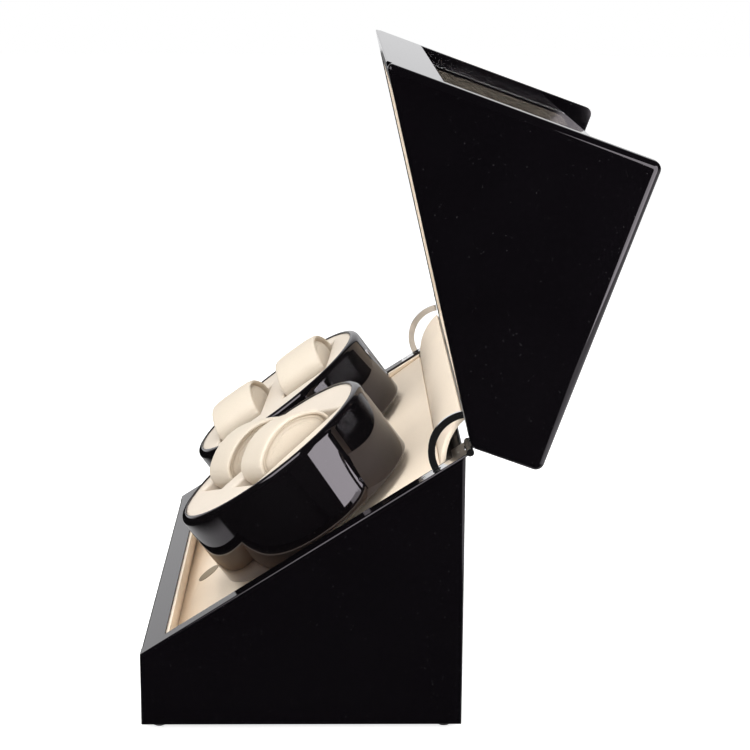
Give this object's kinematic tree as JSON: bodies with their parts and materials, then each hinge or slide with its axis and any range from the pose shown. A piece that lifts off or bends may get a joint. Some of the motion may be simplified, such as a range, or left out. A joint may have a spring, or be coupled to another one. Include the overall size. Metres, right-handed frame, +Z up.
{
  "type": "watch winder box",
  "caption": "Wedge-sided lacquered watch winder box with a hinged windowed lid, motor-driven rotor cups on a sloping deck and lift-out watch cushions.",
  "frame": {"origin": "middle of the base's footprint, on the surface that the rubber feet stand on", "axes": "+X to the right side of the box, -Y to the front where the deck slopes down, +Z up; the lid is stored open"},
  "size_m": [0.355, 0.32, 0.4241],
  "materials": {
    "black_lacquer": "piano black lacquer over fibreboard",
    "plain_board": "dark matt board",
    "cream_leatherette": "soft matt leatherette",
    "cushion_leatherette": "soft matt leatherette",
    "insert_leatherette": "soft matt leatherette over foam",
    "black_gloss_plastic": "high gloss",
    "clear_window": "clear acrylic",
    "chrome_plate": "polished",
    "grey_rubber": "matt",
    "motor_steel": "satin",
    "black_plastic": "satin",
    "taupe_plastic": "satin",
    "green_card": "satin"
  },
  "bodies": {
    "base": {"base_back_board": "black_lacquer", "base_bottom_board": "plain_board", "base_front_board": "black_lacquer", "base_front_lining": "cream_leatherette", "base_left_board": "black_lacquer", "base_left_lining": "cream_leatherette", "base_right_board": "black_lacquer", "base_right_lining": "cream_leatherette", "circuit_card": "green_card", "control_panel": "black_plastic", "deck_batten_left": "plain_board", "deck_batten_right": "plain_board", "deck_panel": "cream_leatherette", "deck_plug": "taupe_plastic", "drive_motor_left": "motor_steel", "drive_motor_right": "motor_steel", "gear_case_left": "black_plastic", "gear_case_right": "black_plastic", "hinge_base_leaf_left": "chrome_plate", "hinge_base_leaf_right": "chrome_plate", "hinge_pin_left": "chrome_plate", "hinge_pin_right": "chrome_plate", "hinge_stay_left": "chrome_plate", "hinge_stay_right": "chrome_plate", "mode_switch_left": "black_plastic", "mode_switch_right": "black_plastic", "power_inlet": "black_plastic", "rubber_feet": "grey_rubber"},
    "lid": {"hinge_lid_leaf_left": "chrome_plate", "hinge_lid_leaf_right": "chrome_plate", "lid_back_board": "black_lacquer", "lid_back_lining": "cream_leatherette", "lid_front_rail": "black_lacquer", "lid_left_board": "black_lacquer", "lid_left_lining": "cream_leatherette", "lid_right_board": "black_lacquer", "lid_right_lining": "cream_leatherette", "lid_window": "clear_window"},
    "flap": {"hinge_flap": "cream_leatherette"},
    "rotor_left": {"drive_shaft_left": "motor_steel", "rotor_cup_left": "black_gloss_plastic", "rotor_insert_left": "insert_leatherette"},
    "rotor_right": {"drive_shaft_right": "motor_steel", "rotor_cup_right": "black_gloss_plastic", "rotor_insert_right": "insert_leatherette"},
    "mode_lever_left": {"mode_lever_left": "black_plastic"},
    "mode_lever_right": {"mode_lever_right": "black_plastic"},
    "cushion_left_lower": {"watch_cushion_left_lower": "cushion_leatherette"},
    "cushion_left_upper": {"watch_cushion_left_upper": "cushion_leatherette"},
    "cushion_right_lower": {"watch_cushion_right_lower": "cushion_leatherette"},
    "cushion_right_upper": {"watch_cushion_right_upper": "cushion_leatherette"}
  },
  "joints": [
    {"name": "lid_hinge", "type": "hinge", "parent": "base", "child": "lid", "pos_m": [0, 0.1052, 0.1843], "axis": [1, 0, 0], "range_deg": [0, 109.8]},
    {"name": "flap_hinge", "type": "hinge", "parent": "base", "child": "flap", "pos_m": [0, 0.0888, 0.17064], "axis": [1, 0, 0], "range_deg": [0, 75]},
    {"name": "rotor_left_spin", "type": "hinge", "parent": "base", "child": "rotor_left", "pos_m": [-0.083, 0.01282, 0.11357], "axis": [0, -0.6018, 0.7987], "continuous": true},
    {"name": "cushion_left_lower_lift", "type": "slide", "parent": "rotor_left", "child": "cushion_left_lower", "axis": [0, 0.6018, -0.7987], "range_m": [-0.045, 0]},
    {"name": "cushion_left_upper_lift", "type": "slide", "parent": "rotor_left", "child": "cushion_left_upper", "axis": [0, 0.6018, -0.7987], "range_m": [-0.045, 0]},
    {"name": "mode_lever_left_slide", "type": "slide", "parent": "base", "child": "mode_lever_left", "axis": [1, 0, 0], "range_m": [-0.003, 0.003]},
    {"name": "rotor_right_spin", "type": "hinge", "parent": "base", "child": "rotor_right", "pos_m": [0.083, 0.01282, 0.11357], "axis": [0, -0.6018, 0.7987], "continuous": true},
    {"name": "cushion_right_lower_lift", "type": "slide", "parent": "rotor_right", "child": "cushion_right_lower", "axis": [0, 0.6018, -0.7987], "range_m": [-0.045, 0]},
    {"name": "cushion_right_upper_lift", "type": "slide", "parent": "rotor_right", "child": "cushion_right_upper", "axis": [0, 0.6018, -0.7987], "range_m": [-0.045, 0]},
    {"name": "mode_lever_right_slide", "type": "slide", "parent": "base", "child": "mode_lever_right", "axis": [1, 0, 0], "range_m": [-0.003, 0.003]}
  ],
  "couplings": [
    {"joint": "flap_hinge", "follows": "lid_hinge", "ratio": 0.68}
  ]
}
